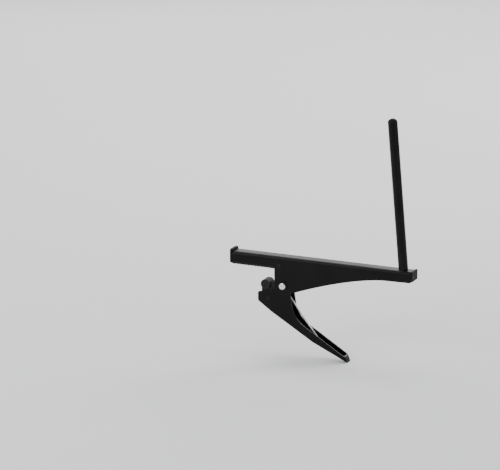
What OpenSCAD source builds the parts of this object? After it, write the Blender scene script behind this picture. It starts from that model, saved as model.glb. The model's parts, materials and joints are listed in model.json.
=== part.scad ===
// Spring-lever net clamp for a table tennis table.
// A folded steel arm lies on the table. A lever is riveted between the arm's cheeks, and a torsion
// spring presses the lever's rubber foot up against the underside of the board. The arm's outer
// end carries the post that the net hangs on.
// Origin: the corner of the jaw, where the playing surface meets the side edge of the board.
// +X runs outward along the arm, +Y along the edge of the board, and +Z up. All sizes are in mm.

/* [Arm] */
// Overall width of the folded arm
arm_w = 15; // [14:0.5:18]
// Thickness of the arm's sheet steel
arm_t = 1.2; // [1:0.1:1.4]
// Outside radius of the folds along the arm's top
arm_bend = 3; // [2:0.25:4]
// Height of the arm's flat top above the playing surface
arm_top = 13.5; // [12.5:0.5:16]
// Reach of the sheet steel over the table
arm_in = 48.4; // [40:0.1:55]
// Reach of the sheet steel outside the edge of the board
arm_out = 153.5; // [152:0.5:160]
// Height of the cheeks' lower edge at the outer end
arm_end_low = 2; // [1:0.5:4]
// Depth of the cheeks below the playing surface, where they are deepest outside the pivot
gusset_depth = 23.5; // [20:0.5:24]

/* [Jaw] */
// Gap between the jaws when nothing is clamped
jaw_gap = 14; // [12:0.5:15]
// Thickness of the rubber pad under the arm
pad_t = 2; // [1.5:0.1:2.5]
// Radius of the rounded front of the rubber foot
foot_r = 5.3; // [4.5:0.1:6]
// Distance of the rubber foot in from the edge of the board
foot_in = 10.9; // [10:0.1:13]

/* [Lever] */
// Distance of the pivot outside the edge of the board
pivot_out = 9.9; // [9:0.1:11]
// Distance of the pivot below the playing surface
pivot_drop = 18.1; // [17.5:0.1:19]
// Overall width of the folded lever
lever_w = 11.8; // [11:0.1:11.9]
// Thickness of the lever's sheet steel
lever_t = 1.2; // [1:0.1:1.4]
// Outside radius of the folds along the lever's back
lever_bend = 2.2; // [1.6:0.1:3]
// How far the lever turns from rest to fully open, in degrees
lever_travel = 26; // [20:1:28]

/* [Pivot and spring] */
// Radius of the rivet's shank
rivet_r = 2.4; // [2:0.1:2.5]
// Radius of the rivet's domed heads
rivet_head_r = 3.75; // [3.5:0.05:4.5]
// Diameter of the spring wire
wire_d = 2; // [1.6:0.1:2]

/* [Post] */
// Diameter of the post
post_d = 10; // [9:0.5:10]
// Distance from the edge of the board to the post's outer side, at the arm
post_reach = 147.5; // [146:0.5:150]
// Height of the post's tip above the playing surface
post_top = 171; // [160:1:180]
// Lean of the post towards the table, in degrees
post_lean = 5; // [0:0.5:6]

/* [Hidden] */

$fn = 64;
paint = [0.06, 0.06, 0.065];
plastic = [0.04, 0.04, 0.045];
rubber = [0.1, 0.1, 0.105];
steel = [0.78, 0.78, 0.76];
zinc = [0.6, 0.62, 0.64];
nylon = [0.85, 0.83, 0.76];

gap = 0.3;            // space between pieces that don't touch
fit = 0.05;           // radial running clearance
far = 400;            // larger than the whole clamp
pivot = [pivot_out, -pivot_drop];
arm_room = arm_w - 2 * arm_t;
lever_room = lever_w - 2 * lever_t;
cheek_edge = gap;     // the cheeks' edges stay behind the throat block's face
lobe_r = pivot_out - cheek_edge;
lever_lobe_r = lobe_r - gap;

// Lower edge of the arm's cheeks: it rises from the heel in a long hollow curve and runs out flat
heel = [24.6, -gusset_depth];
curve_end = [125, arm_end_low - 0.5];
curve_power = 1.5;
curve_steps = 24;

// Back of the lever, along the outside of its web, from the jaw to the tip
back = [[-19.5, -38.6], [-5.2, -48.6], [43, -77], [82.6, -94.6]];
// Open rim of the lever: straight below the lobe, then a hollow arc, then straight to the tip
rim_top = [20.3, -42.4];
rim_low = [34.6, -60.7];
rim_end = [80.3, -88.6];
rim_arc_r = 32;
rim_steps = 16;
rim_join = -37;       // direction from the pivot to where the rim meets the lobe
// Upper edge of the lever's short arm
shelf_left = [-19.5, -27.3];
shelf_right = [-4.2, -24.8];
corner_r = 2;

foot = [-foot_in, -jaw_gap - foot_r];
hump = [1.4, -20.9];
hump_r = 6.3;
foot_flat = 0.4;      // how far the rib's round top is cut down to a narrow flat
carrier_top = -29.2;
tenon_w = 4.4;
tenon_top = -24.6;
pin_at = [-8.2, -34];
pin_r = 1.5;

// The throat block's tongue stands in a notch of the lever's lobes and stops the lever both ways
tongue_r = 6.5;
tongue_from = 100;
tongue_to = 124;
block_back = 8;
block_low = -13;
block_pin_at = [5.3, 4];
relief_x = 2.6;
relief_h = 2.2;

washer_t = 0.8;
washer_r = 5.6;
shim_t = 0.3;
shim_r = 6;
sleeve_r = 3;
head_h = 1.9;

// Spring: the coil turns about the rivet, one leg lies under the arm and one on the lever's back
coil_r = 4.6;
coil_y = 3.5;
coil_turns = 3;
arm_leg_dir = 35;
lever_leg_dir = -52.8;
arm_leg = 44;
lever_leg = 71;
wire_sides = 10;
turn_rings = 20;

post_r = post_d / 2;
post_foot = [post_reach - post_r, arm_top];
post_wall = 1.5;
post_bore = post_r - post_wall;
post_start = -6.8;    // along the post from the arm's top
cap_head = 3.2;       // height of the post's domed cap
post_end = (post_top - arm_top) / cos(post_lean) - cap_head;
socket_from = 134;
spigot_r = post_r - 0.45;
shoulder = 1;         // along the post from the arm's top to where the spigot ends
screw_r = 1.95;
screw_len = 11;
screw_head_r = 3.7;
screw_head_h = 1.7;
hex_r = 1.75;
hex_h = 1.1;
socket_floor = 1.8;
washer_out = 4;
post_washer_t = 0.8;
insert_h = 13;
cap_stem = 8;
cap_plate = 2.6;
end_plate = 1.6;
cap_plug = 9;
plug_chamfer = 2.2;   // side of the square that cuts off a plug's corners, to clear the arm's folds

// Carries a side view, drawn in X and Z, across Y
module across(width, y = 0) {
    translate([0, y, 0]) rotate([90, 0, 0]) linear_extrude(height = width, center = true) children();
}

// Carries a section, drawn in Y and Z, along X
module along(x0, x1) {
    translate([x0, 0, 0]) rotate([90, 0, 90]) linear_extrude(height = x1 - x0) children();
}

// Turns a profile, drawn as radius and distance, about an axis along Y through a point of the side view
module turned(at) {
    translate([at[0], 0, at[1]]) rotate([-90, 0, 0]) rotate_extrude() children();
}

// A round bar along Y through a point of the side view
module crossbar(at, r, width, y = 0) {
    translate([at[0], y, at[1]]) rotate([90, 0, 0]) cylinder(r = r, h = width, center = true);
}

// A rectangle that hangs below y = 0 and has round upper corners
module hanging_box(width, height, r) {
    translate([-width / 2, -height]) square([width, height - r]);
    translate([-width / 2 + r, -height]) square([width - 2 * r, height]);
    for (side = [-1, 1]) translate([side * (width / 2 - r), -r]) circle(r);
}

// Section of a folded channel with its web at y = 0 and its cheeks hanging down
module channel(width, height, sheet, bend) {
    difference() {
        hanging_box(width, height, bend);
        translate([0, -sheet]) hanging_box(width - 2 * sheet, height, bend - sheet);
    }
}

// A rectangle with round corners, centred on Y, between two heights
module plate(width, low, high, r) {
    translate([-width / 2, low + r]) square([width, high - low - 2 * r]);
    translate([-width / 2 + r, low]) square([width - 2 * r, high - low]);
    for (side = [-1, 1]) for (z = [low + r, high - r])
        translate([side * (width / 2 - r), z]) circle(r);
}

function polar(r, angle) = [r * cos(angle), r * sin(angle)];
function arc(centre, r, from, to, steps) = [
    for (i = [0 : steps]) centre + polar(r, from + (to - from) * i / steps)
];
function direction(v) = atan2(v[1], v[0]);
function edge_at(x) = curve_end[1] - (curve_end[1] - heel[1])
    * pow((curve_end[0] - x) / (curve_end[0] - heel[0]), curve_power);

function back_slope(from, to) = atan2(to[1] - from[1], to[0] - from[0]);
function back_inside(x) = back[0][1] + (x - back[0][0]) * tan(back_slope(back[0], back[1]))
    + lever_t / cos(back_slope(back[0], back[1]));

// Stands things on the post's axis, with z = 0 where the axis leaves the arm's top
module on_post() {
    translate([post_foot[0], 0, post_foot[1]]) rotate([0, -post_lean, 0]) children();
}

// Side view of the arm's cheeks
module arm_side() {
    to_heel = heel - pivot;
    lobe_end = direction(to_heel) - acos(lobe_r / norm(to_heel));
    step = (curve_end[0] - heel[0]) / curve_steps;
    polygon(concat(
        [[cheek_edge, pad_t], [-arm_in, pad_t], [-arm_in, arm_top + 1], [arm_out, arm_top + 1]],
        arc([arm_out - 1.5, arm_end_low + 1.5], 1.5, 0, -90, 4),
        [for (i = [0 : curve_steps]) let (x = curve_end[0] - i * step) [x, edge_at(x)]],
        arc(pivot, lobe_r, lobe_end, -180, 18)
    ));
}

module arm() {
    color(paint) difference() {
        intersection() {
            along(-arm_in, arm_out) translate([0, arm_top]) channel(arm_w, 60, arm_t, arm_bend);
            across(arm_w + 2) arm_side();
        }
        crossbar(pivot, rivet_r + fit, arm_w + 2);
        crossbar(block_pin_at, pin_r + fit, arm_w + 2);
        on_post() cylinder(r = spigot_r + gap, h = 12, center = true);
    }
}

// The cap's plate stands above the arm's top, and its hollow plug fills the end of the channel
module inner_end_cap() {
    plug_w = arm_room - 2 * fit;
    plug_top = arm_top - arm_t - fit;
    color(plastic) difference() {
        union() {
            along(-arm_in - cap_plate, -arm_in) plate(arm_w + 1, 0.4, arm_top + 2.4, 2.4);
            along(-arm_in - 0.1, -arm_in + cap_plug) difference() {
                translate([-plug_w / 2, pad_t + 1]) square([plug_w, plug_top - pad_t - 1]);
                for (side = [-1, 1]) translate([side * plug_w / 2, plug_top]) rotate(45)
                    square(plug_chamfer, center = true);
            }
        }
        along(-arm_in + 1, -arm_in + cap_plug + 1)
            translate([-plug_w / 2 + 1.8, pad_t + 2.6]) square([plug_w - 3.6, plug_top - pad_t - 4.2]);
    }
}

// A ribbed strip that clips up between the cheeks; its tongue reaches just past the board's edge
module upper_jaw_pad() {
    rib_w = arm_room - 2 * fit;
    groove_step = 4;
    color(rubber) difference() {
        union() {
            along(-arm_in, 0) translate([-arm_w / 2, 0]) square([arm_w, pad_t]);
            along(-1, 2) translate([-rib_w / 2, 0]) square([rib_w, pad_t]);
            along(-arm_in + cap_plug + 1, 2) translate([-rib_w / 2, pad_t - 0.1]) square([rib_w, 3.1]);
        }
        for (x = [-arm_in + 4 : groove_step : -6])
            along(x, x + 1.2) translate([-arm_w, -0.1]) square([2 * arm_w, 0.6]);
    }
}

// Side view of the throat block: a face for the board's edge, a relief in the jaw's corner, and a
// tongue that reaches down into the notch of the lever's lobes
module block_side() {
    top = arm_top - arm_bend - fit;
    polygon(concat(
        [[0, block_low], [0, -relief_h], [relief_x, -relief_h], [relief_x, top], [block_back, top]],
        [pivot + polar(lobe_r + 0.5, tongue_from)],
        arc(pivot, tongue_r, tongue_from, tongue_to, 4),
        arc(pivot, lobe_r, tongue_to, 180 - asin((block_low - pivot[1]) / lobe_r), 4)
    ));
}

module throat_block() {
    color(plastic) difference() {
        across(arm_room - 2 * fit) block_side();
        crossbar(block_pin_at, pin_r + fit, arm_w);
    }
}

// A plain pin, flush with the arm's cheeks
module block_pin() {
    color(paint) crossbar(block_pin_at, pin_r, arm_w);
}

// Side view of the lever's cheeks: hollow rim, notched lobe round the pivot, and the shelf of the
// short arm. It is left open past the back and the tip, which the folded web closes.
module lever_side() {
    across_rim = rim_low - rim_top;
    half_turn = asin(norm(across_rim) / 2 / rim_arc_r);
    first = direction(across_rim) - half_turn - 90;
    rim_centre = rim_top - polar(rim_arc_r, first);
    to_shelf = pivot - shelf_right;
    fillet_r = (to_shelf * to_shelf - pow(lever_lobe_r, 2)) / 2 / (lever_lobe_r + to_shelf[1]);
    fillet = shelf_right + [0, fillet_r];
    fillet_dir = direction(fillet - pivot);
    fillet_turn = fillet_dir < 0 ? fillet_dir + 360 : fillet_dir;
    notch_from = tongue_from - lever_travel - 1;
    notch_to = tongue_to + 1;
    polygon(concat(
        [[shelf_left[0], -far / 3], [far / 3, -far / 3], rim_end + 0.2 * (rim_end - rim_low)],
        arc(rim_centre, rim_arc_r, first + 2 * half_turn, first, rim_steps),
        arc(pivot, lever_lobe_r, rim_join, notch_from, 12),
        arc(pivot, tongue_r - gap, notch_from, notch_to, 6),
        arc(pivot, lever_lobe_r, notch_to, fillet_turn, 8),
        arc(fillet, fillet_r, fillet_turn - 180, -90, 10),
        arc(shelf_left + [corner_r, -corner_r], corner_r, 90, 180, 5)
    ));
}

// A long bar with two round edges, whose face lies outside the line between two points of the back
module edge_bar(from, to, width, sheet, bend) {
    translate([from[0], 0, from[1]]) rotate([0, -back_slope(from, to), 0])
        along(-far / 2, far / 2) translate([0, sheet]) mirror([0, 1]) hanging_box(width, far, bend);
}

// What a bar along each stretch of the back, and one up the tip, have in common
module back_form(width, sheet, bend) {
    intersection() {
        edge_bar(back[0], back[1], width, sheet, bend);
        edge_bar(back[1], back[2], width, sheet, bend);
        edge_bar(back[2], back[3], width, sheet, bend);
        edge_bar(back[3], rim_end, width, sheet, bend);
    }
}

module lever() {
    color(paint) difference() {
        intersection() {
            back_form(lever_w, 0, lever_bend);
            across(lever_w + 2) lever_side();
        }
        back_form(lever_room, lever_t, lever_bend - lever_t);
        crossbar(pivot, rivet_r + fit, lever_w + 2);
        crossbar(pin_at, pin_r + fit, lever_w + 2);
    }
}

// Fills the lever's short end under the rubber foot, with a tenon that the foot is pushed onto
module foot_carrier() {
    left = shelf_left[0] + 1;
    right = 0.5;
    color(plastic) difference() {
        union() {
            across(lever_room - 2 * fit) polygon([
                [left, carrier_top], [right, carrier_top],
                [right, back_inside(right) + lever_bend], [left, back_inside(left) + lever_bend]
            ]);
            across(tenon_w) polygon([
                [-13, carrier_top - 1], [-4, carrier_top - 1], [-4, tenon_top], [-13, tenon_top]
            ]);
        }
        crossbar(pin_at, pin_r + fit, lever_w);
    }
}

// A plain pin, flush with the lever's cheeks
module foot_pin() {
    color(paint) crossbar(pin_at, pin_r, lever_w);
}

// Rubber foot: a round front rib as wide as the lever, a hump behind it, and a base on the carrier
module jaw_foot() {
    inner_w = lever_room - 2 * gap;
    color(rubber) difference() {
        union() {
            across(lever_w) intersection() {
                translate(foot + [0, foot_flat]) circle(foot_r);
                translate([-far / 2, -jaw_gap - far]) square(far);
            }
            across(inner_w) {
                intersection() {
                    translate(hump) circle(hump_r);
                    translate([-far, carrier_top]) square([far + 1.4, far]);
                }
                polygon([
                    [-15.6, carrier_top], [-15.6, -22.6], [-10, -23.4], [-4, -22.4], [1.4, -20],
                    [1.4, carrier_top]
                ]);
            }
        }
        across(tenon_w + 2 * fit) polygon([
            [-13 - fit, carrier_top - 1], [-4 + fit, carrier_top - 1],
            [-4 + fit, tenon_top + fit], [-13 - fit, tenon_top + fit]
        ]);
    }
}

// Rivet with a domed head at both ends, each with a small dimple
module pivot_rivet() {
    seat = arm_w / 2 + washer_t;
    dome_r = (pow(rivet_head_r, 2) + pow(head_h, 2)) / 2 / head_h;
    color(steel) turned(pivot) difference() {
        union() {
            translate([0, -seat - 0.1]) square([rivet_r, 2 * seat + 0.2]);
            for (side = [-1, 1]) intersection() {
                translate([0, side * (seat + head_h - dome_r)]) circle(dome_r);
                translate([0, side < 0 ? -seat - head_h : seat]) square([rivet_head_r, head_h]);
            }
        }
        translate([-far, -far / 2]) square([far, far]);
        for (side = [-1, 1]) translate([0, side * (seat + head_h)]) circle(0.9);
    }
}

// A pair of rings round the rivet, the same on both sides of the clamp
module ring_pair(inner_r, outer_r, from, thickness) {
    turned(pivot) for (side = [-1, 1])
        translate([inner_r, side < 0 ? -from - thickness : from]) square([outer_r - inner_r, thickness]);
}

module pivot_washers() {
    color(paint) ring_pair(rivet_r + fit, washer_r, arm_w / 2, washer_t);
}

module pivot_shims() {
    color(nylon) ring_pair(rivet_r + 2 * fit, shim_r, lever_w / 2 + fit, shim_t);
}

module pivot_sleeve() {
    color(nylon) turned(pivot) translate([rivet_r + fit, -lever_room / 2 + fit])
        square([sleeve_r - rivet_r - fit, lever_room - 2 * fit]);
}

// Torsion spring as one swept wire: arm leg, coil, lever leg
module return_spring() {
    first = arm_leg_dir + 90;
    last = lever_leg_dir + 270 + 360 * coil_turns;
    steps = ceil(turn_rings * (last - first) / 360);
    coil = [for (i = [0 : steps]) let (a = first + (last - first) * i / steps)
        [pivot + polar(coil_r, a), coil_y * (2 * i / steps - 1), a]];
    rings = concat(
        [[coil[0][0] + polar(arm_leg, arm_leg_dir), -coil_y, first]],
        coil,
        [[coil[steps][0] + polar(lever_leg, lever_leg_dir), coil_y, last]]
    );
    color(steel) polyhedron(
        points = [for (ring = rings) for (k = [0 : wire_sides - 1]) let (
            b = 360 * k / wire_sides,
            p = ring[0] + polar(wire_d / 2 * cos(b), ring[2])
        ) [p[0], ring[1] + wire_d / 2 * sin(b), p[1]]],
        faces = concat(
            [[for (k = [wire_sides - 1 : -1 : 0]) k]],
            [for (i = [0 : len(rings) - 2]) for (k = [0 : wire_sides - 1])
                let (here = i * wire_sides, next = (k + 1) % wire_sides)
                [here + k, here + next, here + next + wire_sides, here + k + wire_sides]],
            [[for (k = [0 : wire_sides - 1]) (len(rings) - 1) * wire_sides + k]]
        )
    );
}

// Steel tube, open at both ends, with its lower end reduced to a spigot
module post() {
    color(paint) on_post() difference() {
        union() {
            translate([0, 0, post_start]) cylinder(r = spigot_r, h = shoulder - post_start + 1);
            translate([0, 0, shoulder]) cylinder(r = post_r, h = post_end - shoulder);
        }
        translate([0, 0, post_start - 1]) cylinder(r = post_bore, h = post_end - post_start + 2);
    }
}

// Threaded plug pressed into the tube's lower end
module post_insert() {
    color(zinc) on_post() translate([0, 0, post_start]) difference() {
        cylinder(r = post_bore - 0.01, h = insert_h);
        translate([0, 0, -1]) cylinder(r = screw_r + fit, h = insert_h - 2);
    }
}

// Block in the arm's outer end: it seats the post, and its plate closes the end of the channel
module post_socket() {
    block_w = arm_room - 2 * fit;
    block_top = arm_top - arm_t - fit;
    block_bottom = arm_end_low + 0.8;
    color(plastic) difference() {
        union() {
            along(socket_from, arm_out + 0.1) difference() {
                translate([-block_w / 2, block_bottom]) square([block_w, block_top - block_bottom]);
                for (side = [-1, 1]) translate([side * block_w / 2, block_top]) rotate(45)
                    square(plug_chamfer, center = true);
            }
            along(arm_out, arm_out + end_plate) plate(arm_w + 0.4, arm_end_low + 1.3, arm_top + 0.5, 1.6);
        }
        on_post() translate([0, 0, post_start]) {
            cylinder(r = spigot_r + fit, h = 20);
            translate([0, 0, -20]) cylinder(r = screw_r + gap / 2, h = 21);
            translate([0, 0, -20 - socket_floor]) cylinder(r = washer_out + gap, h = 20);
        }
    }
}

module post_washer() {
    color(zinc) on_post() translate([0, 0, post_start - socket_floor - post_washer_t]) difference() {
        cylinder(r = washer_out, h = post_washer_t);
        translate([0, 0, -1]) cylinder(r = screw_r + gap / 2, h = post_washer_t + 2);
    }
}

// Low round-headed screw with a hexagon socket, driven up into the post's insert
module post_screw() {
    color(zinc) on_post() translate([0, 0, post_start - socket_floor - post_washer_t]) difference() {
        union() {
            translate([0, 0, -screw_head_h]) cylinder(r = screw_head_r, h = screw_head_h);
            translate([0, 0, -0.1]) cylinder(r = screw_r, h = screw_len);
        }
        translate([0, 0, -screw_head_h - 1]) cylinder(r = hex_r, h = hex_h + 1, $fn = 6);
    }
}

// Plug with a domed head that closes the tube's top
module post_cap() {
    dome_r = (pow(post_r, 2) + pow(cap_head, 2)) / 2 / cap_head;
    color(plastic) on_post() translate([0, 0, post_end]) {
        translate([0, 0, -cap_stem]) cylinder(r = post_bore - fit, h = cap_stem + 0.1);
        rotate_extrude() intersection() {
            translate([0, cap_head - dome_r]) circle(dome_r);
            square([post_r, cap_head]);
        }
    }
}

arm();
inner_end_cap();
upper_jaw_pad();
throat_block();
block_pin();
lever();
foot_carrier();
foot_pin();
jaw_foot();
pivot_rivet();
pivot_washers();
pivot_shims();
pivot_sleeve();
return_spring();
post();
post_insert();
post_socket();
post_screw();
post_washer();
post_cap();
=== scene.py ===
"""Table tennis net clamp: the looks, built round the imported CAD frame."""

import json
import math

import bpy  # noqa: E402
from mathutils import Matrix, Vector  # noqa: E402


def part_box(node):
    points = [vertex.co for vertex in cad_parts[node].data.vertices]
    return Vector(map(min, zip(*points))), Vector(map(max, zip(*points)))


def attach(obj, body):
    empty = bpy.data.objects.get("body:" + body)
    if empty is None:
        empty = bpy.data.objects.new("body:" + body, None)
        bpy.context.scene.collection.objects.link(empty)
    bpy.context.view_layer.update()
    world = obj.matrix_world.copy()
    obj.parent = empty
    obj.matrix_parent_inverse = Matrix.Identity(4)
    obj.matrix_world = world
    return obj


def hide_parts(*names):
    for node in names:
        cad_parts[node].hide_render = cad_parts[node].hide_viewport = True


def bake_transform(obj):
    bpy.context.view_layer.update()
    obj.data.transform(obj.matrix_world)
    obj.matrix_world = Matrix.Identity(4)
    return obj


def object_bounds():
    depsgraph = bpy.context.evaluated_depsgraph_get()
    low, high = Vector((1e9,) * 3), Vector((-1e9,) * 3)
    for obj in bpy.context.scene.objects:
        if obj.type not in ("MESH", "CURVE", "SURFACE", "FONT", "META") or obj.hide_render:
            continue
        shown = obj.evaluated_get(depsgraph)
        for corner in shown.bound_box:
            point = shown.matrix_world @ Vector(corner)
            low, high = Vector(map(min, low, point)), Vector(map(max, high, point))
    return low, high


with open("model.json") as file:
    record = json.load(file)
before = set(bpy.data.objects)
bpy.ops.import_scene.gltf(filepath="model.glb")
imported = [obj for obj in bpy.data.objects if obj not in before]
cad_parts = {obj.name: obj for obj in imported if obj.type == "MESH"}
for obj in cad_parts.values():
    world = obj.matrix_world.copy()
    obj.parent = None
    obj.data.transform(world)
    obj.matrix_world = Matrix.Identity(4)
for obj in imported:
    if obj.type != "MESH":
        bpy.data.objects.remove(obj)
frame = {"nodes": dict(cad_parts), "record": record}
CAD_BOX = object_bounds()
NODES = frame["nodes"]
HINGE = frame["record"]["behaviour"]["joints"][0]
PIVOT = Vector(HINGE["pos_m"])
MM = 0.001

# Camera, as the photographer stood: outside the table's edge and a little above it
CAMERA_AT = Vector((0.8754, -1.9349, 0.6259))
CAMERA_TURN = 25.1  # degrees, round +Z from looking along +Y
CAMERA_DOWN = 15.55  # degrees below the horizon
CAMERA_ROLL = -0.49  # degrees
CAMERA_LENS = 151.0  # mm
SENSOR_WIDTH = 36  # mm
LIT_POINT = Vector((0.05, 0, 0.02))  # what every light is aimed at
FLOOR_HALF = 6.0  # metres from the middle of the floor to its sides


# ---------------------------------------------------------------- stage


def make_camera():
    data = bpy.data.cameras.new("camera")
    data.lens = CAMERA_LENS
    data.sensor_width = SENSOR_WIDTH
    data.clip_start = 0.05
    camera = bpy.data.objects.new("camera", data)
    turn = Matrix.Rotation(math.radians(CAMERA_TURN), 4, "Z")
    tilt = Matrix.Rotation(math.radians(90 - CAMERA_DOWN), 4, "X")
    roll = Matrix.Rotation(math.radians(CAMERA_ROLL), 4, "Z")
    camera.matrix_world = Matrix.Translation(CAMERA_AT) @ turn @ tilt @ roll
    bpy.context.scene.collection.objects.link(camera)
    bpy.context.scene.camera = camera


def make_floor():
    mesh = bpy.data.meshes.new("floor")
    low = CAD_BOX[0].z
    signs = [(-1, -1), (1, -1), (1, 1), (-1, 1)]
    corners = [(x * FLOOR_HALF, y * FLOOR_HALF, low) for x, y in signs]
    mesh.from_pydata(corners, [], [(0, 1, 2, 3)])
    floor = bpy.data.objects.new("floor", mesh)
    bpy.context.scene.collection.objects.link(floor)
    material = bpy.data.materials.new("floor")
    material.use_nodes = True
    shader = material.node_tree.nodes["Principled BSDF"]
    shader.inputs["Base Color"].default_value = (0.8, 0.8, 0.79, 1)
    shader.inputs["Roughness"].default_value = 0.8
    shader.inputs["Specular IOR Level"].default_value = 0.2
    mesh.materials.append(material)


def make_softbox(name, turn, up, distance, width, height, radiance):
    """A rectangular light, turned in degrees round the object from the camera's side."""
    data = bpy.data.lights.new(name, "AREA")
    data.shape = "RECTANGLE"
    data.size = width
    data.size_y = height
    data.energy = radiance * math.pi * width * height
    light = bpy.data.objects.new(name, data)
    away = Vector((0, -1, 0))
    away.rotate(Matrix.Rotation(math.radians(-up), 3, "X"))
    away.rotate(Matrix.Rotation(math.radians(CAMERA_TURN + turn), 3, "Z"))
    light.location = LIT_POINT + away * distance
    light.rotation_euler = away.to_track_quat("Z", "Y").to_euler()
    light.visible_camera = False
    bpy.context.scene.collection.objects.link(light)


def make_lights():
    world = bpy.data.worlds.new("world")
    bpy.context.scene.world = world
    world.use_nodes = True
    sky = world.node_tree.nodes["Background"]
    sky.inputs["Color"].default_value = (0.93, 0.96, 1.0, 1)
    sky.inputs["Strength"].default_value = 0.5
    make_softbox("back_softbox", 184, 20, 2.6, 2.8, 1.3, 2.6)
    make_softbox("rim_softbox", 136, 27, 2.2, 0.9, 0.7, 10.0)
    make_softbox("top_softbox", 200, 68, 2.2, 1.6, 1.6, 4.6)
    make_softbox("left_strip", -54, 26, 1.6, 0.3, 0.8, 13.0)
    make_softbox("right_strip", 46, 16, 1.6, 0.12, 1.2, 6.0)


# ---------------------------------------------------------------- materials


POST_LEAN = 5  # degrees, how far the post's streaks are turned from upright
LEG_SLOPE = -53  # degrees, how far the wire's streaks are turned from level
SCRATCH_SLOPE = 24  # degrees, the same for the scratches in the powder coat
RING_PITCH = 0.22  # mm between the rings turned on the rivet


class Surface:
    """A Principled material whose detail comes from nodes that read the object's place, in metres."""

    def __init__(self, name, specular=0.5, metallic=0.0):
        self.material = bpy.data.materials.new(name)
        self.material.use_nodes = True
        self.nodes = self.material.node_tree.nodes
        self.shader = self.nodes["Principled BSDF"]
        self.shader.inputs["Specular IOR Level"].default_value = specular
        self.shader.inputs["Metallic"].default_value = metallic
        self.place = self.add("ShaderNodeTexCoord").outputs["Object"]
        self.height = None

    def add(self, kind, inputs=(), **settings):
        node = self.nodes.new(kind)
        for key, value in settings.items():
            setattr(node, key, value)
        for key, value in dict(inputs).items():
            self.put(node.inputs[key], value)
        return node

    def put(self, socket, value):
        if isinstance(value, bpy.types.NodeSocket):
            self.material.node_tree.links.new(value, socket)
        elif socket.type == "RGBA" and len(value) == 3:
            socket.default_value = (*value, 1)
        else:
            socket.default_value = value

    def math(self, operation, a, b=0.0):
        node = self.add("ShaderNodeMath", operation=operation)
        self.put(node.inputs[0], a)
        self.put(node.inputs[1], b)
        return node.outputs[0]

    def stretched(self, scale=(1, 1, 1), turn=(0, 0, 0), shift=(0, 0, 0)):
        inputs = {"Vector": self.place, "Scale": scale, "Rotation": turn, "Location": shift}
        return self.add("ShaderNodeMapping", inputs).outputs[0]

    def noise(self, size, detail=3.0, rough=0.55, where=None):
        """Smooth noise whose blots are about the given size in millimetres."""
        inputs = {"Vector": where or self.place, "Scale": 1 / (size * MM)}
        inputs |= {"Detail": detail, "Roughness": rough}
        return self.add("ShaderNodeTexNoise", inputs).outputs["Fac"]

    def cells(self, size):
        """Rounded cells about the given size in millimetres."""
        inputs = {"Vector": self.place, "Scale": 1 / (size * MM)}
        return self.add("ShaderNodeTexVoronoi", inputs, feature="SMOOTH_F1").outputs["Distance"]

    def ramp(self, value, low, high, start=0.0, end=1.0):
        inputs = {"Value": value, "From Min": low, "From Max": high, "To Min": start, "To Max": end}
        return self.add("ShaderNodeMapRange", inputs).outputs[0]

    def blend(self, factor, a, b):
        node = self.add("ShaderNodeMix", data_type="RGBA")
        self.put(node.inputs["Factor"], factor)
        self.put(node.inputs[6], a)
        self.put(node.inputs[7], b)
        return node.outputs[2]

    def corners(self, radius):
        """How close a point is to an outer or inner corner, from 0 to 1."""
        rounded = self.add("ShaderNodeBevel", {"Radius": radius * MM}, samples=6).outputs[0]
        flat = self.add("ShaderNodeNewGeometry").outputs["Normal"]
        dot = self.add("ShaderNodeVectorMath", operation="DOT_PRODUCT")
        self.put(dot.inputs[0], rounded)
        self.put(dot.inputs[1], flat)
        return self.ramp(self.math("SUBTRACT", 1.0, dot.outputs["Value"]), 0.02, 0.2)

    def crevices(self, reach, low=0.35, high=0.9):
        """How hidden a point is among its neighbours, from 0 to 1."""
        open_sky = self.add("ShaderNodeAmbientOcclusion", {"Distance": reach * MM}, samples=6).outputs["AO"]
        return self.ramp(open_sky, high, low)

    def facing_up(self):
        """How level a point of the surface is, from 0 to 1."""
        normal = self.add("ShaderNodeNewGeometry").outputs["Normal"]
        upward = self.add("ShaderNodeSeparateXYZ", {"Vector": normal}).outputs["Z"]
        return self.ramp(upward, 0.6, 1.0)

    def emboss(self, value, depth):
        """Adds a height, in millimetres at the value of one, to the surface."""
        inputs = {"Height": value, "Distance": depth * MM, "Strength": 1.0}
        if self.height is not None:
            inputs["Normal"] = self.height
        self.height = self.add("ShaderNodeBump", inputs).outputs[0]
        self.put(self.shader.inputs["Normal"], self.height)

    def finish(self, colour, roughness):
        self.put(self.shader.inputs["Base Color"], colour)
        self.put(self.shader.inputs["Roughness"], roughness)
        return self.material


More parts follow.
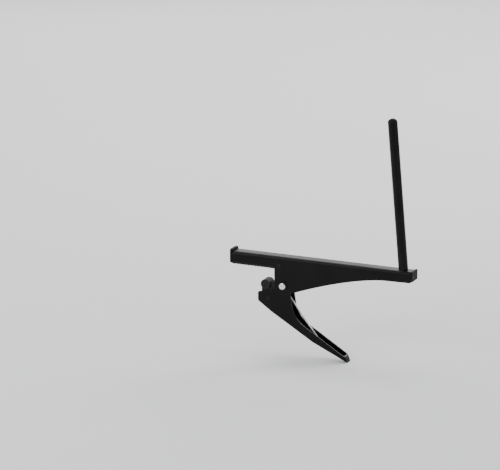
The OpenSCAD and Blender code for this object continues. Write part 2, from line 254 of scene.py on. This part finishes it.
def powder_coat():
    """Black powder coat on folded sheet: orange peel, fine grain, rubbed edges, scratches and dust."""
    s = Surface("powder_coat", specular=0.11)
    tone = s.ramp(s.noise(26, 4), 0.3, 0.7)
    colour = s.blend(tone, (0.0038, 0.0038, 0.0042), (0.0066, 0.0065, 0.0063))
    blots = s.noise(3.2, 5, 0.65)
    scratch = s.noise(1.5, 2, 0.6, s.stretched((0.06, 1, 1), (0, math.radians(SCRATCH_SLOPE), 0)))
    scratches = s.ramp(scratch, 0.68, 0.74)
    dust = s.math("MULTIPLY", s.facing_up(), s.ramp(s.noise(1.1, 6, 0.75), 0.45, 0.75, 0.02, 0.14))
    colour = s.blend(dust, colour, (0.16, 0.155, 0.145))
    colour = s.blend(s.math("MULTIPLY", scratches, 0.35), colour, (0.05, 0.05, 0.05))
    rubbed = s.math("MULTIPLY", s.corners(0.5), s.ramp(blots, 0.4, 0.62, 0.2, 1.0))
    colour = s.blend(rubbed, colour, (0.13, 0.128, 0.123))
    specks = s.ramp(s.noise(0.7, 3, 0.7), 0.7, 0.76, 0.0, 0.5)
    colour = s.blend(specks, colour, (0.035, 0.034, 0.033))
    roughness = s.math("ADD", s.ramp(s.noise(30, 3), 0.3, 0.7, 0.3, 0.37), s.math("MULTIPLY", dust, 0.7))
    s.emboss(s.noise(1.4, 1.5, 0.4), 0.07)
    s.emboss(s.noise(0.3, 2), 0.022)
    s.emboss(scratches, -0.02)
    return s.finish(colour, roughness)


def post_enamel():
    """Smooth black enamel on tube, rubbed lengthwise by the net's sleeve, with painted highlights on its
    corners.
    """
    s = Surface("post_enamel", specular=0.12)
    streaks = s.noise(1.1, 3, 0.6, s.stretched((1, 1, 0.02), (0, math.radians(POST_LEAN), 0)))
    tone = s.ramp(s.noise(18, 4), 0.3, 0.7)
    colour = s.blend(tone, (0.003, 0.003, 0.0034), (0.006, 0.006, 0.006))
    rubbed = s.ramp(streaks, 0.6, 0.72, 0.0, 0.35)
    colour = s.blend(rubbed, colour, (0.035, 0.035, 0.034))
    # Painted highlight: every corner of the post is made evenly paler.
    colour = s.blend(s.corners(0.35), colour, (0.09, 0.088, 0.085))
    roughness = s.ramp(streaks, 0.3, 0.7, 0.2, 0.34)
    s.emboss(s.noise(2.4, 1), 0.02)
    s.emboss(streaks, 0.008)
    return s.finish(colour, roughness)


def moulded_plastic():
    """Black glass-filled plastic with a fine spark-eroded grain and paler rubbed corners."""
    s = Surface("moulded_plastic", specular=0.08)
    tone = s.ramp(s.noise(8, 4), 0.3, 0.7)
    colour = s.blend(tone, (0.004, 0.004, 0.0044), (0.0085, 0.0085, 0.0083))
    flow = s.noise(5, 3, 0.6, s.stretched((1, 0.3, 1)))
    rubbed = s.math("MULTIPLY", s.corners(0.4), s.ramp(s.noise(1.6, 4), 0.4, 0.65, 0.15, 0.8))
    colour = s.blend(rubbed, colour, (0.07, 0.07, 0.068))
    dust = s.math("MULTIPLY", s.crevices(2.5), s.ramp(s.noise(1.2, 5), 0.4, 0.7, 0.0, 0.3))
    colour = s.blend(dust, colour, (0.085, 0.08, 0.072))
    roughness = s.ramp(flow, 0.3, 0.7, 0.46, 0.6)
    s.emboss(s.cells(0.45), 0.05)
    s.emboss(s.noise(0.18, 2), 0.015)
    return s.finish(colour, roughness)


def rubber():
    """Black rubber with a dull bloom, scuffs, and lint and wear on its corners."""
    s = Surface("rubber", specular=0.2)
    tone = s.ramp(s.noise(5, 5, 0.6), 0.3, 0.7)
    colour = s.blend(tone, (0.007, 0.007, 0.0074), (0.016, 0.0159, 0.0157))
    scuff = s.ramp(s.noise(0.9, 4, 0.7, s.stretched((0.25, 1, 1))), 0.6, 0.72, 0.0, 0.5)
    colour = s.blend(scuff, colour, (0.05, 0.05, 0.052))
    worn = s.math("MULTIPLY", s.corners(0.5), s.ramp(s.noise(1.1, 4), 0.35, 0.65, 0.2, 1.0))
    colour = s.blend(worn, colour, (0.075, 0.074, 0.072))
    roughness = s.ramp(s.noise(2.5, 4), 0.3, 0.7, 0.48, 0.68)
    s.emboss(s.noise(0.55, 3, 0.6), 0.05)
    s.emboss(s.noise(0.16, 1), 0.018)
    return s.finish(colour, roughness)


def blackened_steel():
    """Black oxide: thin, brownish where it has worn and bright on its corners."""
    s = Surface("blackened_steel", specular=0.15)
    tone = s.ramp(s.noise(1.8, 5, 0.6), 0.35, 0.7)
    colour = s.blend(tone, (0.0025, 0.0025, 0.003), (0.008, 0.0072, 0.0064))
    edge = s.math("MULTIPLY", s.corners(0.3), s.ramp(s.noise(0.8, 3), 0.4, 0.6, 0.2, 1.0))
    colour = s.blend(edge, colour, (0.16, 0.155, 0.15))
    roughness = s.ramp(s.noise(1.2, 4), 0.3, 0.7, 0.3, 0.5)
    s.emboss(s.noise(0.35, 3), 0.015)
    return s.finish(colour, roughness)


def turned_steel():
    """Bright cold-formed rivet: rings round its axis, small dents, and painted shade, with more roughness,
    where it is hidden.
    """
    s = Surface("turned_steel", metallic=1.0)
    centred = s.stretched(shift=(-PIVOT.x, 0, -PIVOT.z))
    flat = s.add("ShaderNodeVectorMath", {0: centred, 1: (1, 0, 1)}, operation="MULTIPLY").outputs[0]
    radius = s.add("ShaderNodeVectorMath", {0: flat}, operation="LENGTH").outputs["Value"]
    rings = s.math("SINE", s.math("MULTIPLY", radius, 2 * math.pi / (RING_PITCH * MM)))
    tone = s.ramp(s.noise(1.6, 4), 0.3, 0.7)
    colour = s.blend(tone, (0.74, 0.735, 0.72), (0.9, 0.895, 0.88))
    # Painted shade: the rivet is darkened where it is hidden among its neighbours, against the washers; the
    # same mask raises its roughness there.
    painted_crevice_shade = s.crevices(1.2, 0.3, 0.85)
    colour = s.blend(painted_crevice_shade, colour, (0.09, 0.085, 0.08))
    roughness = s.math("ADD", s.ramp(s.noise(0.7, 4), 0.3, 0.7, 0.22, 0.36), s.math("MULTIPLY", painted_crevice_shade, 0.3))
    s.emboss(rings, 0.0025)
    s.emboss(s.noise(0.6, 3), 0.012)
    return s.finish(colour, roughness)


def drawn_wire():
    """Bright spring wire with the die's lengthwise streaks and a little grey oxide."""
    s = Surface("drawn_wire", metallic=1.0)
    streaks = s.noise(0.5, 4, 0.6, s.stretched((0.04, 1, 1), (0, math.radians(LEG_SLOPE), 0)))
    tone = s.ramp(s.noise(4, 4), 0.35, 0.65)
    colour = s.blend(tone, (0.9, 0.9, 0.89), (0.97, 0.97, 0.96))
    colour = s.blend(s.ramp(streaks, 0.64, 0.8, 0.0, 0.25), colour, (0.45, 0.44, 0.43))
    roughness = s.ramp(streaks, 0.3, 0.7, 0.36, 0.52)
    s.emboss(streaks, 0.01)
    return s.finish(colour, roughness)


def zinc_plate():
    """Bright zinc: cool, finely crystalline, and darkened in its corners by painted shade."""
    s = Surface("zinc_plate", metallic=1.0)
    tone = s.ramp(s.cells(0.9), 0.1, 0.6)
    colour = s.blend(tone, (0.5, 0.53, 0.57), (0.68, 0.69, 0.7))
    # Painted shade: darker where the zinc is hidden among its neighbours.
    colour = s.blend(s.crevices(1.5), colour, (0.2, 0.2, 0.2))
    roughness = s.ramp(s.noise(0.8, 4), 0.3, 0.7, 0.26, 0.46)
    s.emboss(s.noise(0.3, 3), 0.01)
    return s.finish(colour, roughness)


def natural_nylon():
    """Natural nylon: warm white, waxy, and greyed by painted shade where it is hidden among its neighbours.
    """
    s = Surface("natural_nylon", specular=0.45)
    tone = s.ramp(s.noise(2.5, 4), 0.3, 0.7)
    colour = s.blend(tone, (0.6, 0.57, 0.48), (0.74, 0.71, 0.62))
    # Painted shade: grey where the nylon is hidden among its neighbours.
    colour = s.blend(s.math("MULTIPLY", s.crevices(1.2), 0.7), colour, (0.2, 0.19, 0.17))
    roughness = s.ramp(s.noise(1.4, 3), 0.3, 0.7, 0.34, 0.5)
    s.emboss(s.noise(0.4, 2), 0.012)
    return s.finish(colour, roughness)


def dress_nodes():
    by_slot = {
        "painted_steel": powder_coat(),
        "post_steel": post_enamel(),
        "moulded_black": moulded_plastic(),
        "rubber": rubber(),
        "blackened_steel": blackened_steel(),
        "bright_steel": turned_steel(),
        "spring_steel": drawn_wire(),
        "zinc_steel": zinc_plate(),
        "nylon": natural_nylon(),
    }
    for subpart in frame["record"]["subparts"]:
        node = NODES[subpart["node"]]
        node.data.materials.clear()
        node.data.materials.append(by_slot[subpart["material_slot"]])
    return by_slot


# ---------------------------------------------------------------- shapes


SOFTENED = {  # millimetres that each piece's sharp corners are rounded by
    "arm": 0.25, "lever": 0.25, "inner_end_cap": 0.35, "post_socket": 0.3, "throat_block": 0.3,
    "foot_carrier": 0.3, "upper_jaw_pad": 0.25, "jaw_foot": 0.35, "pivot_washers": 0.12,
    "post_washer": 0.1, "post_screw": 0.15, "pivot_shims": 0.05,
}


def soften(node, radius):
    """Rounds a piece's sharp corners with modifiers, which leave its own mesh as it is."""
    weld = node.modifiers.new("weld", "WELD")
    weld.merge_threshold = 0.002 * MM
    flatten = node.modifiers.new("flatten", "DECIMATE")
    flatten.decimate_type = "DISSOLVE"
    flatten.angle_limit = math.radians(0.4)
    bevel = node.modifiers.new("bevel", "BEVEL")
    bevel.limit_method = "ANGLE"
    bevel.angle_limit = math.radians(32)
    bevel.width = radius * MM
    bevel.segments = 3
    bevel.miter_outer = "MITER_ARC"
    node.modifiers.new("shade", "WEIGHTED_NORMAL")
    for polygon in node.data.polygons:
        polygon.use_smooth = True


def add_piece(name, points, faces, material):
    """A smooth mesh from points in metres."""
    mesh = bpy.data.meshes.new(name)
    mesh.from_pydata(points, [], faces)
    mesh.materials.append(material)
    for polygon in mesh.polygons:
        polygon.use_smooth = True
    piece = bpy.data.objects.new(name, mesh)
    bpy.context.scene.collection.objects.link(piece)
    return piece


def skin(rings):
    """Faces that join rings of points one after another, with a face on each end."""
    sides = len(rings[0])
    last = (len(rings) - 1) * sides
    faces = []
    for here in range(0, last, sides):
        there = here + sides
        for k in range(sides):
            after = (k + 1) % sides
            faces.append((here + k, here + after, there + after, there + k))
    faces.append(tuple(range(sides))[::-1])
    faces.append(tuple(last + k for k in range(sides)))
    return faces


def sweep(path, radius, sides=20, cap_rings=5):
    """Rings of a round wire along a path in the side view, with domed ends."""
    tangents = []
    for i in range(len(path)):
        before, after = path[max(i - 1, 0)], path[min(i + 1, len(path) - 1)]
        tangents.append((after - before).normalized())
    stations = []
    for k in range(cap_rings):
        angle = math.pi / 2 * (k + 0.4) / cap_rings
        back = tangents[0] * radius * (1 - math.sin(angle))
        stations.append((path[0] + back, tangents[0], radius * math.sin(angle)))
    stations += [(point, tangent, radius) for point, tangent in zip(path[1:-1], tangents[1:-1])]
    for k in reversed(range(cap_rings)):
        angle = math.pi / 2 * (k + 0.4) / cap_rings
        back = tangents[-1] * radius * (1 - math.sin(angle))
        stations.append((path[-1] - back, tangents[-1], radius * math.sin(angle)))
    rings = []
    for point, tangent, size in stations:
        side = tangent.cross(Vector((0, 1, 0))).normalized()
        up = side.cross(tangent).normalized()
        turns = [2 * math.pi * k / sides for k in range(sides)]
        rings.append([point + side * size * math.cos(a) + up * size * math.sin(a) for a in turns])
    return rings


def side_view(x, z, y):
    """The point at x and z of the side view, in millimetres, y behind the middle plane."""
    return Vector((x, y, z)) * MM


def polar(radius, degrees):
    """The point of the side view at this radius and direction from its origin."""
    return Vector((math.cos(math.radians(degrees)), math.sin(math.radians(degrees)))) * radius


# Spring, in millimetres, and in degrees in the side view
WIRE_R = 1.0
COIL_R = 4.6  # to the wire's middle
COIL_Y = 3.5  # from the coil's middle to where each leg leaves it
COIL_TURNS = 3
ARM_LEG = 44.0
ARM_LEG_DIR = 35.0
LEVER_LEG = 70.0
LEVER_LEG_START_DIR = -56.5  # the leg leaves the coil this way
LEVER_LEG_END_DIR = -49.5  # and is bowed by its load to this
LEG_STEPS = 24
COIL_STEPS = 52  # in each turn


def spring_path():
    """The wire's middle line: straight leg under the arm, coil round the rivet, bowed leg on the lever."""
    pivot = Vector((PIVOT.x, PIVOT.z)) / MM
    first = ARM_LEG_DIR + 90
    last = LEVER_LEG_START_DIR + 270 + 360 * COIL_TURNS
    coil_steps = COIL_STEPS * COIL_TURNS
    leaves = pivot + polar(COIL_R, first)
    path = []
    for i in range(LEG_STEPS, 0, -1):
        at = leaves + polar(ARM_LEG * i / LEG_STEPS, ARM_LEG_DIR)
        path.append(side_view(at.x, at.y, -COIL_Y))
    for i in range(coil_steps + 1):
        t = i / coil_steps
        at = pivot + polar(COIL_R, first + (last - first) * t)
        path.append(side_view(at.x, at.y, COIL_Y * (2 * t - 1)))
    at = pivot + polar(COIL_R, last)
    for i in range(LEG_STEPS):
        t = (i + 0.5) / LEG_STEPS
        at = at + polar(LEVER_LEG / LEG_STEPS, LEVER_LEG_START_DIR * (1 - t) + LEVER_LEG_END_DIR * t)
        path.append(side_view(at.x, at.y, COIL_Y))
    return path


def make_spring(material):
    rings = sweep(spring_path(), WIRE_R * MM)
    points = [point for ring in rings for point in ring]
    spring = add_piece("spring_wire", points, skin(rings), material)
    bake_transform(spring)
    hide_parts("return_spring")


# Rivet, in millimetres
RIVET_HEAD_R = 3.75
RIVET_SHANK_R = 2.4
RIVET_RIM = 0.3  # the head's straight side, on the washer
LAND_R = 1.25  # the flat round the dimple
DIMPLE_R = 0.95
DIMPLE_DEPTH = 0.6
DOME_STEPS = 10
DIMPLE_STEPS = 6
RIVET_SIDES = 72


def rivet_profile():
    """Half of the rivet's outline, from its middle to the end of one head, as radius and height."""
    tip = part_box("pivot_rivet")[1].y / MM
    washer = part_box("pivot_washers")[1].y / MM
    seat = washer + 0.02
    side = washer + RIVET_RIM
    dome = tip - washer - RIVET_RIM
    outline = [(RIVET_SHANK_R, 0.0), (RIVET_SHANK_R, seat), (RIVET_HEAD_R - 0.12, seat)]
    outline += [(RIVET_HEAD_R, washer + 0.14), (RIVET_HEAD_R, side)]
    for step in range(1, DOME_STEPS + 1):
        radius = RIVET_HEAD_R + (LAND_R - RIVET_HEAD_R) * step / DOME_STEPS
        share = (radius - LAND_R) / (RIVET_HEAD_R - LAND_R)
        outline.append((radius, side + dome * math.sqrt(max(0.0, 1 - share ** 2.2))))
    outline.append(((LAND_R + DIMPLE_R) / 2, tip - 0.01))
    for step in range(DIMPLE_STEPS):
        radius = DIMPLE_R * (1 - step / DIMPLE_STEPS)
        outline.append((radius, tip - 0.04 - DIMPLE_DEPTH * (1 - (radius / DIMPLE_R) ** 2)))
    return outline


def make_rivet(material):
    half = rivet_profile()
    outline = [(r, -y) for r, y in reversed(half)] + half[1:]
    pivot = Vector((PIVOT.x, 0, PIVOT.z))
    rings = []
    for radius, y in outline:
        ring = []
        for k in range(RIVET_SIDES):
            out = polar(radius * MM, 360 * k / RIVET_SIDES)
            ring.append(pivot + Vector((out.x, y * MM, out.y)))
        rings.append(ring)
    points = [point for ring in rings for point in ring]
    rivet = add_piece("rivet", points, skin(rings), material)
    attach(rivet, "clamp")
    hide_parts("pivot_rivet")


make_camera()
make_floor()
make_lights()
MATERIALS = dress_nodes()
make_spring(MATERIALS["spring_steel"])
make_rivet(MATERIALS["bright_steel"])
for name, radius in SOFTENED.items():
    soften(NODES[name], radius)
